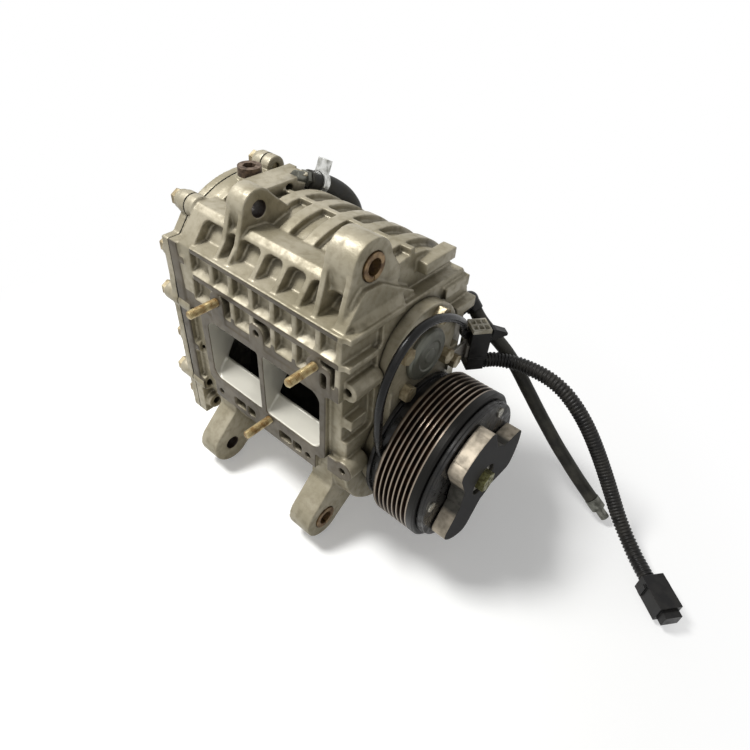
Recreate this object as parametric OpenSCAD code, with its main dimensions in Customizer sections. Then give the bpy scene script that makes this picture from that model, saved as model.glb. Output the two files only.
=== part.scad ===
// Two-lobe rotary supercharger with a seven-groove pulley and a magnetic clutch.
// X runs along the rotor shafts towards the pulley, Y away from the delivery flange, Z up.
// The origin is the middle of the delivery flange face, midway between the two rotor axes.

/* [Rotors] */
// Distance between the drive axis and the driven axis
axis_gap = 73; // [68:1:76]
// Length of both rotors
rotor_len = 130; // [118:1:134]
// Gap that each rotor flank keeps from the ideal meshing profile
flank_gap = 0.2; // [0.15:0.05:0.3]
// Gap between rotor tips and the barrel bore
tip_gap = 0.35; // [0.3:0.05:0.6]
// Gap at each end of the rotors
end_gap = 0.3; // [0.2:0.05:0.5]
// Radius of the shaft inside a rotor
rotor_shaft_r = 12; // [10:0.5:13]
// Radius of the shaft in its bearings
journal_r = 8.5; // [7:0.25:9]

/* [Timing gears] */
// Teeth on each timing gear
gear_teeth = 36; // [30:2:40]
// Width of the timing gears
gear_w = 14; // [10:1:15]

/* [Housing] */
// Distance from the delivery flange face to the shaft axes
axis_y = 64; // [63:0.5:68]
// Wall of the barrel outside its bore
barrel_wall = 4.6; // [4:0.2:6]
// Thickness of the front wall
front_wall = 12; // [11:0.5:14]
// Height of the cooling fins above the barrel
fin_h = 4.5; // [2:0.5:5]
// Width of a cooling fin
fin_w = 9; // [5:0.5:12]
// Spacing of the cooling fins
fin_pitch = 20.4; // [18:0.2:24]
// Thickness of the lattice ribs
rib_t = 4; // [3:0.5:5]
// Spacing of the upright lattice ribs
web_pitch = 18.7; // [16:0.1:20]
// Thickness of the flange that carries the gear cover
rear_flange_t = 8; // [6:0.5:10]
// Depth of the pockets between the lattice ribs
pocket_d = 7; // [4:0.5:8]

/* [Ports] */
// Width of the divided delivery port
port_w = 106; // [90:1:108]
// Height of the delivery port
port_h = 50; // [40:1:52]
// Thickness of the divider between the two delivery openings
divider_t = 4.6; // [4:0.2:10]
// Width of the inlet port
inlet_w = 92; // [80:1:94]
// Height of the inlet port
inlet_h = 44; // [36:1:46]

/* [Mounting lugs] */
// Radius of the bolt holes in the lugs
lug_bore_r = 5.2; // [4.2:0.1:6]
// Outer radius of the two lug bushes
bush_r = 8.4; // [7.4:0.1:9]
// Outer radius of the rear upper lug
rear_lug_r = 12.5; // [11:0.1:14]
// Outer radius of the front upper lug
front_lug_r = 16; // [13:0.1:17]
// Outer radius of the lower lugs
lower_lug_r = 16.3; // [13:0.1:18]
// Length of the port studs outside the flange
stud_len = 21; // [15:1:30]
// Radius of the port studs
stud_r = 3; // [2.5:0.5:4]

/* [Pulley and clutch] */
// Outer radius of the pulley
pulley_r = 54.7; // [52:0.1:58]
// Number of belt grooves
grooves = 7; // [5:1:7]
// Belt rib pitch
rib_pitch = 3.56; // [3.4:0.02:3.6]
// Depth of a belt groove
groove_d = 2.7; // [2:0.1:3]
// Outer radius of the pulley bearing
pulley_bearing_r = 25; // [24:0.5:26]
// Radius of the nose that carries the pulley bearing
nose_r = 17.5; // [16:0.5:18.5]
// Air gap between the pulley face and the armature plate
clutch_gap = 0.5; // [0.3:0.1:0.8]
// Outer radius of the armature plate
armature_r = 51; // [48:0.5:53]
// Radius of the three-lobed hub
hub_r = 46.5; // [42:0.5:48]

/* [Hidden] */
$fn = 48;

half = axis_gap / 2;
drive = [axis_y, -half];
driven = [axis_y, half];
seat = 0.02;                 // radial gap of parts that stay together
running = 0.05;              // radial gap of a shaft in its bearing

// rotor profile: both lobes and waists are rolled by a circle a quarter of the pitch circle
roll_r = half / 4;
tip_r = half + 2 * roll_r - flank_gap;
bore_r = tip_r + tip_gap;
barrel_r = bore_r + barrel_wall;
fin_r = barrel_r + fin_h;
waist_r = half - 2 * roll_r - flank_gap;

// stations along X
wall_x = 60;                                  // inner face of the front wall
front_x = wall_x + front_wall;                // face that carries the front cover
chamber_x = wall_x - rotor_len - 2 * end_gap; // rotor side of the rear bearing plate
plate_t = 12;
plate_step = 0.6;
part_x = chamber_x - plate_t;                 // joint face of housing and rear cover
gasket_t = 0.5;
cover_x = part_x - gasket_t;
cover_flange_t = 7;
lip = 1;
seal_w = 4.5;
bearing_w = 12;
bearing_r = 20;
seal_r = 15;
bearing_boss_r = 25;
front_bearing_x = wall_x + lip + seal_w;
rear_bearing_x = chamber_x - lip - seal_w - bearing_w;
gear_x = rear_bearing_x - 2 - gear_w;
gear_nut_t = 7;
shaft_end_x = gear_x - gear_nut_t - 2;
dome_x = shaft_end_x - 5;
dome_wall = 4;
cover_face_x = front_bearing_x + bearing_w + 3.5;

// timing gears
gear_module = axis_gap / gear_teeth;
backlash = 0.3;
gear_tip_r = half + gear_module * 0.9;
gear_root_r = half - gear_module * 1.2;

// castings
corner_y = 6;                 // face of the front wall on the delivery side
rib_top_z = half + 37;        // upper long rib
rib_mid_z = half + 17.8;      // lower long rib
frame_top_z = port_h / 2 + 9.6;
crest = [16.5, half + 55.5];  // [y, z] where the sloped face meets the shoulder
slope_foot = [2, rib_top_z];
slope_len = norm(crest - slope_foot);
slope_a = atan2(crest[1] - slope_foot[1], crest[0] - slope_foot[0]);
web_x = [for (i = [-2:3]) i * web_pitch - 6];
rib_front_x = front_x + 2;
fin_x = [for (i = [0:floor((wall_x - part_x - fin_w - 9.8) / fin_pitch)]) part_x + 9.8 + i * fin_pitch];
port_rim = 6;
ramp_z = 10;                  // rise of the sloped floor and roof of the delivery openings
port_flange_x = [-port_w / 2 - 7, port_w / 2 + 5];
port_foot_z = -port_h / 2 - 20;
flange_low_z = -half - 42;
flange_high_z = half + 37;
stud_at = [[-39.3, half + 9], [49.1, half + 9], [4.9, -port_h / 2 - 5]];
tapped_at = [[-1.5, half + 4.5], [-48, -half - 1.5], [42, -half - 1.5]];
tapped_r = 2.5;
stud_boss_r = 6.5;
thread_t = 7;
inlet_y = axis_y + barrel_r + 9;
inlet_rim = 10;
inlet_hole_at = [inlet_w / 2 + 5, inlet_h / 2 + 5];
inlet_hole_r = 3.4;
front_boss_at = [front_x - 1.5, half - 1.5];

// lugs: [y, z] of the bolt axes and [x start, x end] of each lug
upper_at = [axis_y - 33.9, half + 67.6];
lower_at = [-2.7, -half - 50.2];
lug_a_x = [part_x + 41.1, part_x + 56.6];
lug_b_x = [42.5, 63.5];
lug_c_x = [part_x + 24.6, part_x + 42.6];
lug_d_x = [42, 61];
base_z = lower_at[1] - lower_lug_r;    // everything stands on this level
foot_x = [-52, 52];
foot_at = axis_y + 42;

// gear cover bolts: [y, z, length of the boss on the cover]
side_bolts = [[7, half + 25.5, 3], [5, half - 11, 9], [7, -half + 26.4, 3], [5, -half - 9, 9],
    [8, -half - 31, 3]];
rim_bolts = concat([for (a = [22, 70, 128]) [driven[0] + 67 * cos(a), driven[1] + 67 * sin(a), a == 128 ? 5 : 3]],
    [for (a = [-22, -70, -118]) [drive[0] + 67 * cos(a), drive[1] + 67 * sin(a), 3]],
    [[axis_y + 67, 0, 3]]);
cover_bolt_at = concat(side_bolts, rim_bolts);
cover_bolt_r = 3;
cover_boss_r = 6.8;
filler_x = part_x + 9;
drain_x = gear_x + gear_w / 2;
drain_boss = 58;
breather_at = [part_x + 35.6, axis_y + 22, half + 64.5];
breather_slope = 24;
flange_r = barrel_r + 5;

step_ribs = [[70, half + 51, 71, 101], [75, half + 28, 89, 115], [79, half + 10, 99.5, 122]];

// front cover bolts round the driven bearing, and two sunk ones below the coil
cap_r = 17.9;
cap_t = 3.2;
front_boss_r = 34;
nose_flange_r = 44;
cap_bolt_at = [for (a = [71, 151, 231, 329]) driven + 27 * [cos(a), sin(a)]];
sunk_bolt_at = [for (a = [-60, -120]) drive + 36.5 * [cos(a), sin(a)]];
front_bolt_r = 3;

// clutch stations
coil_flange_t = 2.5;
coil_flange_r = 49;
ridge_x = 93.2;
pulley_x = ridge_x - 1.8;
pulley_end_x = ridge_x + grooves * rib_pitch + 5.9;
rim_t = 8;
pulley_web_t = 5;
sleeve_t = 3.5;
coil_gap = 0.7;
nose_end_x = pulley_end_x - 6;
pulley_bearing_w = 20;
pulley_bearing_x = nose_end_x - 3 - pulley_bearing_w;
armature_x = pulley_end_x + clutch_gap;
armature_t = 4.5;
lobe_x = armature_x + armature_t + 1;
lobe_t = 10.5;
lobe_w = 37;
waist_hub_r = 26;
lobe_a = [115, -5, 235];
damper_r = 9;
damper_at = 33;
hub_bore_r = 7;
rivet_a = [for (a = lobe_a) a - 60];

// leads and hoses
conduit_r = 5.5;
hose_r = 5;
breather_r = 6.5;
lead_r = 2.8;
shell_at = [87.5, 112, -4.5];   // near lower corner of the connector
shell_turn = 52;
shell_size = [14, 14.6, 32];
boot_h = 10;
bracket_t = 2;
bracket_bolt_at = [axis_y + 34, 12];

// routes, point by point
lead_route = [[86.4, 24, -22], [86.8, 20, -14.5], [87.4, 17, -6], [87.6, 15, 3.5], [87.8, 14, 13.5],
    [88, 13.2, 23.5], [88.4, 13.2, 33.5], [88.9, 14.5, 43], [89.4, 17.4, 52], [89.8, 22, 60.4], [90, 28.6, 67],
    [90, 37, 71], [90, 46.5, 72], [90, 56, 70.6], [90, 65, 67.4], [90, 74, 62.8], [89.6, 82, 57.4], [88.6, 90, 51],
    [86.4, 97.6, 43.8], [83.6, 104, 36], [81.4, 109, 28.6], [82, 114, 23.4]];
conduit_route = [[93, 126, 0.5], [97, 131, 0.5], [101.8, 135, 0.4], [107.2, 137.9, 0.3], [113.2, 139.8, 0.6],
    [119.6, 140.6, 1], [126, 140.8, 1.4], [132.4, 140.8, 1.4], [138.8, 140.9, 0.6], [145, 141.1, -1.2],
    [151.2, 141.5, -4.2], [157.2, 142, -8.4], [163, 142.6, -13.4], [168.8, 143.2, -19.2], [174.4, 143.8, -25.6],
    [180.2, 144.4, -33], [187, 145, -42.4], [194, 145, -52], [200.6, 144.6, -61], [205.4, 144, -67.4],
    [210, 143.2, -73.4], [214.8, 142, -79.2], [220, 140.3, -84.5], [225.6, 137.9, -89], [231.4, 134.8, -92.6],
    [237.3, 131, -95.2], [243.2, 126.6, -96.6], [249, 121.8, -96.9], [254.8, 117, -96.9]];
side_route = [[72, 139, 27], [76, 139, 23], [80.2, 139.9, 18.8], [84.6, 141.6, 14.4], [89.2, 143.6, 9.8],
    [94, 145.7, 5], [99, 147.5, 0], [104.2, 148.8, -5.4], [109.6, 149.5, -11.2], [115.2, 149.7, -17.2],
    [121, 149.7, -23.4], [127, 149.7, -29.6], [133, 149.6, -35.8], [139.2, 149.5, -42], [145.6, 149.4, -48.2],
    [152.4, 149.2, -54.6], [159.8, 149, -61.2], [167.6, 149, -67.8], [175.4, 149, -74.4], [183.4, 149, -80.8],
    [191.6, 149, -87], [196, 149, -90.2]];
breather_route = [[-47, 90, 99], [-47, 99, 95], [-47, 108, 90.5], [-47, 117, 85], [-47, 125, 79], [-47, 132, 72],
    [-47.5, 138, 64], [-49, 142.5, 55], [-52, 145, 44], [-56, 146, 32], [-60, 146, 19], [-63, 146, 5],
    [-64, 146, -9], [-64, 146, -23], [-63, 147, -38], [-60, 149, -54], [-54, 153, -70], [-45, 158, -84],
    [-32, 163, -93], [-16, 167, -95.5], [0, 170, -95.5]];

// ---------- shapes that several pieces share ----------

// rod along X from x0 to x1 at [y, z]
module xrod(x0, x1, r, at) {
    translate([x0, at[0], at[1]]) rotate([0, 90, 0]) cylinder(r = r, h = x1 - x0);
}

// rod along Y from y0 to y1 at [x, z]
module yrod(y0, y1, r, at) {
    translate([at[0], y0, at[1]]) rotate([-90, 0, 0]) cylinder(r = r, h = y1 - y0);
}

// blind hole along Y from y0 to y1 with a drill point beyond it
module blind(y0, y1, r, at) {
    translate([at[0], y0, at[1]]) rotate([-90, 0, 0]) rotate_extrude()
        polygon([[0, 0], [r, 0], [r, y1 - y0], [0, y1 - y0 + 0.6 * r]]);
}

// plate from x0 to x1 whose children are its outline in (y, z)
module xplate(x0, x1) {
    translate([x0, 0, 0]) rotate([90, 0, 90]) linear_extrude(x1 - x0) children();
}

// ring along X whose wall runs from radius r0 to r1
module xring(x0, x1, r0, r1, at) {
    difference() {
        xrod(x0, x1, r1, at);
        xrod(x0 - 1, x1 + 1, r0, at);
    }
}

// six-sided head along X
module xhex(x0, x1, flats, at) {
    translate([x0, at[0], at[1]]) rotate([0, 90, 0]) cylinder(d = flats / cos(30), h = x1 - x0, $fn = 6);
}

// outline of both barrels with straight sides between them
module oval(r) {
    translate(driven) circle(r);
    translate(drive) circle(r);
    translate([axis_y - r, -half]) square([2 * r, axis_gap]);
}

// outline of both barrels alone
module eight(r) {
    translate(driven) circle(r);
    translate(drive) circle(r);
}

// plain deep-groove bearing: a ring with a recess between its races on both faces
module bearing(x0, w, inner, outer, at) {
    race = (outer - inner) * 0.3;
    translate([x0, at[0], at[1]]) rotate([0, 90, 0]) rotate_extrude()
        polygon([[inner, 0], [inner + race, 0], [inner + race, 1], [outer - race, 1], [outer - race, 0],
            [outer, 0], [outer, w], [outer - race, w], [outer - race, w - 1], [inner + race, w - 1],
            [inner + race, w], [inner, w]]);
}

// ---------- tube along a route ----------

// puts a fitting at the end of a route, its Z axis along the last stretch
module at_end(p) {
    last = len(p) - 1;
    d = unit(p[last] - p[last - 1]);
    translate(p[last]) rotate([0, acos(d[2]), atan2(d[1], d[0])]) children();
}

function unit(v) = v / norm(v);
function way(p, i) = unit(p[min(i + 1, len(p) - 1)] - p[max(i - 1, 0)]);
// side vector of each ring, carried along the route so that the tube doesn't twist
function carried(p, i) = i == 0 ? unit(cross(way(p, 0), [0.3, 0.2, 0.93]))
    : let (s = carried(p, i - 1), w = way(p, i)) unit(s - w * (s * w));
module tube(p, r, sides = 10) {
    rings = [for (i = [0:len(p) - 1]) let (s = carried(p, i), u = cross(way(p, i), s))
        for (k = [0:sides - 1]) let (a = 360 * k / sides) p[i] + r * (cos(a) * s + sin(a) * u)];
    last = len(p) - 1;
    polyhedron(points = rings, convexity = 8, faces = concat(
        [[for (k = [0:sides - 1]) k]],
        [for (i = [0:last - 1], k = [0:sides - 1]) let (n = (k + 1) % sides)
            [i * sides + k, (i + 1) * sides + k, (i + 1) * sides + n, i * sides + n]],
        [[for (k = [sides - 1:-1:0]) last * sides + k]]));
}

// ---------- castings ----------

// outline of the rear joint, shared by housing, gasket and cover
module rear_joint_outline() {
    oval(flange_r);
    polygon([[0, flange_low_z], [0, flange_high_z], [9, flange_high_z], [22, half + 54],
        [axis_y, half + 54], [axis_y, flange_low_z]]);
    for (b = rim_bolts) translate([b[0], b[1]]) circle(cover_boss_r + 1);
}

// rectangle with round corners
module rounded(x, y, r) {
    translate([x[0] + r, y[0]]) square([x[1] - x[0] - 2 * r, y[1] - y[0]]);
    translate([x[0], y[0] + r]) square([x[1] - x[0], y[1] - y[0] - 2 * r]);
    for (u = [x[0] + r, x[1] - r], v = [y[0] + r, y[1] - r]) translate([u, v]) circle(r);
}

// pocket in the sloped face: round at the top, with a ledge at the bottom
module slope_pocket(x, depth) {
    intersection() {
        translate([0, slope_foot[0], slope_foot[1]]) rotate([slope_a, 0, 0]) translate([0, 0, -depth])
            linear_extrude(4 * pocket_d) rounded(x, [-10, slope_len - 2], 4);
        xplate(x[0] - 1, x[1] + 1) polygon([[-9, rib_top_z + rib_t / 2], [3, rib_top_z + rib_t / 2],
            [crest[0], rib_top_z + 3.5], [3 * crest[0], crest[1] + 9], [-9, crest[1] + 9]]);
    }
}

// pocket in the upright face, from z[0] to z[1], with a sloped floor
module pocket(x, z, front) {
    xplate(x[0], x[1]) polygon([[-9, z[0]], [front, z[0]], [front + pocket_d - 1.5, z[0] + 4],
        [front + pocket_d - 1.5, z[1]], [-9, z[1]]]);
}

// barrel and the thick lattice on its delivery side
module lattice_block() {
    low = concat([[part_x + 19, web_x[0] - rib_t / 2]],
        [for (i = [1:5]) [web_x[i - 1] + rib_t / 2, web_x[i] - rib_t / 2]],
        [[web_x[5] + rib_t / 2, wall_x + 4]]);
    top = [[part_x + 22, lug_a_x[0] + 1], [lug_a_x[1] - 1, web_x[2] - rib_t / 2],
        [web_x[2] + rib_t / 2, web_x[3] - rib_t / 2], [web_x[3] + rib_t / 2, web_x[4] - rib_t / 2],
        [web_x[4] + rib_t / 2, lug_b_x[0] + 1]];
    difference() {
        union() {
            xplate(part_x, wall_x + 2) oval(barrel_r);
            xplate(part_x + rear_flange_t, wall_x + 8) polygon([[0.5, port_h / 2 + 2], [0.5, frame_top_z],
                slope_foot, crest, crest + [4, 3], [axis_y - 30, half + 57.5], [axis_y, half + 40],
                [axis_y, port_h / 2 + 2]]);
        }
        for (x = top) slope_pocket(x, pocket_d);
        for (l = [lug_a_x, lug_b_x]) slope_pocket([l[0] + rib_t, l[1] - rib_t], 11.5);
        for (x = low) {
            pocket(x, [rib_mid_z + rib_t / 2, rib_top_z - rib_t / 2], 1.4);
            pocket(x, [frame_top_z + 1.5, rib_mid_z - rib_t / 2], 0.8);
        }
    }
}

// rib along the casting from its face at y, round the front corner and back to last_y
module long_rib(z, y, last_y) {
    corner = 9;
    x0 = part_x + 20;
    translate([0, 0, z - rib_t / 2]) linear_extrude(rib_t) {
        translate([x0 + 2, y]) square([rib_front_x - corner - x0 - 2, axis_y / 2]);
        translate([x0, y + 2]) square([rib_front_x - x0, last_y - corner - y]);
        translate([x0 + 2, y + 2]) circle(2);
        translate([rib_front_x - corner, y + corner]) circle(corner);
    }
}

// lug above the lattice: a boss on two webs with a deep slot between them
module upper_lug(x, r, web) {
    difference() {
        union() {
            xplate(x[0], x[1]) {
                translate(upper_at) circle(r);
                polygon([upper_at - [r, 0], upper_at - [r - 2, 16], [axis_y - 30, half + 40],
                    [axis_y - 9, half + 50], [axis_y - 10, half + 58.5], upper_at + r * [0.45, 0.893]]);
            }
            for (x0 = [x[0], x[1] - web]) xplate(x0, x0 + web)
                polygon([upper_at - [r, 0], [slope_foot[0] + (r > 14 ? 3 : 6), rib_top_z + 1],
                    [axis_y - 20, rib_top_z - 1], [axis_y - 24, half + 50]]);
        }
        xplate(x[0] + web, x[1] - web) polygon([[-1, rib_top_z + 3], [26, rib_top_z + 3], [26, half + 49],
            [upper_at[0] - r - 1, half + 53], [-1, half + 53]]);
    }
}

module lower_lug(x) {
    xplate(x[0], x[1]) {
        translate(lower_at) circle(lower_lug_r);
        polygon([lower_at + lower_lug_r * [-0.7071, 0.7071], [3.5, -half - 21.5], [4, port_foot_z + 4],
            [14, port_foot_z + 4], [axis_y - 30, drive[1] - barrel_r + 16],
            lower_at + lower_lug_r * [0.75, -0.66]]);
    }
}

module port_flange() {
    // frame round the port, stepped along its top, with the bolt strip below it
    translate([0, 14, 0]) rotate([90, 0, 0]) linear_extrude(14)
        rounded(port_flange_x, [-port_h / 2 - port_rim, port_h / 2 + port_rim], 5);
    translate([port_flange_x[0] + 4, 1.5, 0]) cube([port_flange_x[1] - port_flange_x[0] - 8, 12, frame_top_z]);
    translate([port_flange_x[0] + 5, 0, port_foot_z]) cube([port_flange_x[1] - port_flange_x[0] - 14, 14, 20]);
    // bosses of the studs and of the upper tapped hole, standing on the rim
    for (at = [stud_at[0], stud_at[1], tapped_at[0]]) {
        yrod(0, 24, stud_boss_r, at);
        translate([at[0] - stud_boss_r, 0, port_h / 2]) cube([2 * stud_boss_r, 24, at[1] - port_h / 2]);
    }
    // pad beside the front stud
    translate([0, 20, 0]) rotate([90, 0, 0]) linear_extrude(20)
        rounded([stud_at[1][0], stud_at[1][0] + 12.5], [port_h / 2 + 2, stud_at[1][1] + 3], 3);
}

// one of the two delivery openings, with a sloped floor and roof and large outer corners
module window(side) {
    x = [divider_t / 2, port_w / 2];
    mirror([side < 0 ? 1 : 0, 0, 0]) intersection() {
        xplate(x[0], x[1]) polygon([[-1, -port_h / 2], [0.8, -port_h / 2], [11.5, ramp_z - port_h / 2],
            [axis_y - 30, ramp_z - port_h / 2], [axis_y - 30, port_h / 2 - ramp_z],
            [11.5, port_h / 2 - ramp_z], [0.8, port_h / 2], [-1, port_h / 2]]);
        translate([0, axis_y, 0]) rotate([90, 0, 0]) linear_extrude(2 * axis_y) {
            rounded([x[0], x[1] - 10], [-port_h / 2, port_h / 2], 2.5);
            rounded([x[0] + 10, x[1]], [-port_h / 2, port_h / 2], 8);
        }
    }
}

module inlet_flange() {
    translate([-inlet_w / 2 - inlet_rim, axis_y + 20, -inlet_h / 2 - inlet_rim])
        cube([inlet_w + 2 * inlet_rim, inlet_y - axis_y - 20, inlet_h + 2 * inlet_rim]);
}

module housing_outside() {
    lattice_block();
    xplate(part_x, part_x + rear_flange_t) rear_joint_outline();
    for (b = side_bolts) xrod(part_x, part_x + rear_flange_t + 5, cover_boss_r, [b[0], b[1]]);
    // front wall, below the upper long rib
    difference() {
        xplate(wall_x, front_x) intersection() {
            union() {
                oval(barrel_r);
                translate([corner_y, port_foot_z]) square([axis_y, rib_top_z - port_foot_z]);
            }
            translate([0, -2 * axis_y]) square([4 * axis_y, 2 * axis_y + rib_top_z]);
        }
        // cored recesses below and between the long ribs
        xplate(front_x - 5, front_x + 1) rounded([-9, axis_y - 35.5], [-8, rib_mid_z], 5);
        xplate(front_x - 4, front_x + 1) rounded([-9, axis_y - 32], [rib_mid_z, rib_top_z], 3);
    }
    // cooling fins and the rib along the crown
    for (x = fin_x) xplate(x - fin_w / 2, x + fin_w / 2) intersection() {
        oval(fin_r);
        translate([axis_y - 36, -2 * axis_y]) square(4 * axis_y);
    }
    translate([part_x, axis_y + 1, half]) cube([wall_x + 2 - part_x, rib_t, fin_r - 0.4]);
    long_rib(rib_top_z, 0.6, axis_y - 8);
    long_rib(rib_mid_z, 0.4, axis_y - 30);
    upper_lug(lug_a_x, rear_lug_r, rib_t);
    upper_lug(lug_b_x, front_lug_r, rib_t);
    // thin gusset from the rear lug to the barrel
    xplate(lug_a_x[1] - rib_t, lug_a_x[1]) polygon([[14, half + 46], [axis_y - 8.5, half + 60.5],
        upper_at + rear_lug_r * [0.5, 0.866], upper_at - [rear_lug_r, 0]]);
    // flank that falls from the front lug to the upper long rib
    rotate([90, 0, 0]) translate([0, 0, 12 - axis_y]) linear_extrude(axis_y - 22) polygon([[wall_x - 1, rib_top_z - 1],
        [rib_front_x - 2, rib_top_z - 1], [rib_front_x - 3.5, rib_top_z + 3], [lug_b_x[1], rib_top_z + 14],
        [wall_x - 1, rib_top_z + 14]]);
    lower_lug(lug_c_x);
    lower_lug(lug_d_x);
    port_flange();
    inlet_flange();
    // feet below the inlet side, level with the lower lugs
    for (x = foot_x) translate([x - 9, foot_at - 10, base_z]) cube([18, 20, drive[1] - base_z]);
    // bosses on the front wall, tapped towards the delivery side
    yrod(5.5, 29.7, 6.8, front_boss_at);
    translate([wall_x, corner_y, 4]) cube([front_wall + 2, 14, 8]);
    yrod(0, 18, 7.5, [front_x + 1, -half + 8]);
    translate([wall_x, 0, -half - 1]) cube([front_wall + 1, 18, 14]);
    // filler block across the rear of the barrel, and the boss of the filler plug
    translate([part_x + 18.6, axis_y - 20, half + 50]) cube([21, 46, 18.5]);
    translate([filler_x, axis_y - 1, half + 40]) cylinder(r = 9, h = flange_r - 40 + 0.5);
    // stepped ribs at the far corner of the front wall: [end x, z, first y, last y]
    for (s = step_ribs) translate([wall_x, s[2], s[1] - rib_t]) cube([s[0] - wall_x, s[3] - s[2], 2 * rib_t]);
}

module rotor_housing() {
    color("darkkhaki") difference() {
        housing_outside();
        // rotor chamber and the seat of the rear bearing plate
        xplate(chamber_x - 1, wall_x) eight(bore_r);
        xplate(part_x - 1, chamber_x) eight(bore_r + plate_step);
        // delivery openings on both sides of the divider, and the inlet
        for (side = [-1, 1]) window(side);
        translate([-inlet_w / 2, axis_y + 30, -inlet_h / 2]) cube([inlet_w, axis_y, inlet_h]);
        // cored pockets in the strip below the port
        for (x = [[-33, -21], [-19, -11], [14, 26], [28, 36]]) translate([0, 6, 0]) rotate([90, 0, 0])
            linear_extrude(8) rounded(x, [port_foot_z + 4, port_foot_z + 12], 2);
        // cored recess beside the front stud
        translate([0, 6, 0]) rotate([90, 0, 0]) linear_extrude(8)
            rounded([stud_at[1][0] + 4.6, stud_at[1][0] + 9.6], [port_h / 2 + 8, stud_at[1][1] - 1.5], 2.2);
        // seats of the front seals and bearings
        for (at = [drive, driven]) {
            xrod(wall_x - 1, wall_x + lip + 1, journal_r + 1.5, at);
            xrod(wall_x + lip, front_bearing_x + 1, seal_r + seat, at);
            xrod(front_bearing_x, front_x + 1, bearing_r + seat, at);
        }
        for (at = concat(cap_bolt_at, sunk_bolt_at)) xrod(front_x - 9, front_x + 1, front_bolt_r, at);
        for (b = cover_bolt_at) xrod(part_x - 1, part_x + rear_flange_t + 6, cover_bolt_r, [b[0], b[1]]);
        // lug bores and bush seats
        xrod(lug_a_x[0] - 1, lug_a_x[1] + 1, lug_bore_r, upper_at);
        xrod(lug_b_x[0] - 1, lug_b_x[1] + 1, bush_r + seat, upper_at);
        xrod(lug_c_x[0] - 1, lug_c_x[1] + 1, lug_bore_r, lower_at);
        xrod(lug_d_x[0] - 1, lug_d_x[1] + 1, bush_r + seat, lower_at);
        // stud holes of the delivery flange, countersunk, and its tapped holes
        for (at = stud_at) {
            blind(-1, thread_t, stud_r - 0.5 + seat, at);
            translate([at[0], 0, at[1]]) rotate([-90, 0, 0]) cylinder(r1 = stud_r + 0.4, r2 = stud_r - 0.6, h = 1);
        }
        for (at = tapped_at) blind(-1, thread_t, tapped_r, at);
        for (x = [-1, 1], z = [-1, 1]) translate([x * inlet_hole_at[0], 2 * inlet_y, z * inlet_hole_at[1]])
            mirror([0, 1, 0]) blind(inlet_y - 1, inlet_y + 12, inlet_hole_r, [0, 0]);
        blind(4, 20, 2.6, front_boss_at);
        blind(-1, 14, 2.6, [front_x + 1, -half + 8]);
        // filler, breather and drain holes
        translate([filler_x, axis_y - 1, half + flange_r - 5.5]) cylinder(r = 6 + seat, h = 12);
        along_breather() {
            translate([0, 0, -9]) cylinder(r = 4 + seat, h = 12);
            cylinder(r = breather_r + 4, h = 30);
        }
        xrod(part_x + 33, part_x + 41, 3, [axis_y + 6, half + 63]);
    }
}

module rear_bearing_plate() {
    color("silver") difference() {
        union() {
            xplate(part_x, chamber_x) eight(bore_r + plate_step - seat);
            for (at = [drive, driven]) xrod(rear_bearing_x, part_x + 1, bearing_boss_r, at);
        }
        for (at = [drive, driven]) {
            xrod(chamber_x - lip - 1, chamber_x + 1, journal_r + 1.5, at);
            xrod(rear_bearing_x + bearing_w - 1, chamber_x - lip, seal_r + seat, at);
            xrod(rear_bearing_x - 1, rear_bearing_x + bearing_w, bearing_r + seat, at);
        }
    }
}

module rear_cover() {
    color("darkkhaki") difference() {
        union() {
            xplate(cover_x - cover_flange_t, cover_x) rear_joint_outline();
            // domed case of the timing gears, in two steps
            hull() for (at = [drive, driven]) {
                xrod(cover_x - cover_flange_t, cover_x - 3, 57, at, $fn = 32);
                xrod(cover_x - cover_flange_t - 14, cover_x - 3, 53, at, $fn = 32);
            }
            hull() for (at = [drive, driven]) {
                xrod(cover_x - cover_flange_t - 14, cover_x - 3, 53, at, $fn = 32);
                xrod(dome_x, cover_x - 3, 43, at, $fn = 32);
            }
            for (b = cover_bolt_at)
                xrod(cover_x - cover_flange_t - b[2], cover_x, cover_boss_r, [b[0], b[1]]);
            translate([drain_x, axis_y, drive[1] - drain_boss]) cylinder(r = 10, h = 20);
            // ribs that tie the side bosses to the dome
            for (b = side_bolts) translate([cover_x - cover_flange_t - 6, b[0] + cover_boss_r - 1.2, b[1] - 2])
                cube([8, axis_y - 44, 4]);
        }
        xplate(dome_x + dome_wall, cover_x + 1) oval(gear_tip_r + 1.5);
        // room for the bolt heads beside the dome
        for (b = cover_bolt_at)
            xrod(cover_x - cover_flange_t - b[2] - 20, cover_x - cover_flange_t - b[2], 6.4, [b[0], b[1]]);
        translate([drain_x, axis_y, drive[1] - drain_boss - 1]) cylinder(r = 5 + seat, h = 24);
        for (b = cover_bolt_at)
            xrod(cover_x - cover_flange_t - b[2] - 1, cover_x + 1, cover_bolt_r + 0.3, [b[0], b[1]]);
    }
}

module cover_gasket() {
    color("dimgray") difference() {
        xplate(cover_x, part_x) rear_joint_outline();
        xplate(cover_x - 1, part_x + 1) oval(bearing_boss_r + 18);
        for (b = cover_bolt_at) xrod(cover_x - 1, part_x + 1, cover_bolt_r + 0.3, [b[0], b[1]]);
    }
}

module cover_bolts() {
    color("gray") for (b = cover_bolt_at) {
        head_x = cover_x - cover_flange_t - b[2];
        xhex(head_x - 4.5, head_x, 10, [b[0], b[1]]);
        xrod(head_x - 1, part_x + 6, cover_bolt_r - 0.1, [b[0], b[1]], $fn = 12);
    }
}

// ---------- front end ----------

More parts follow.
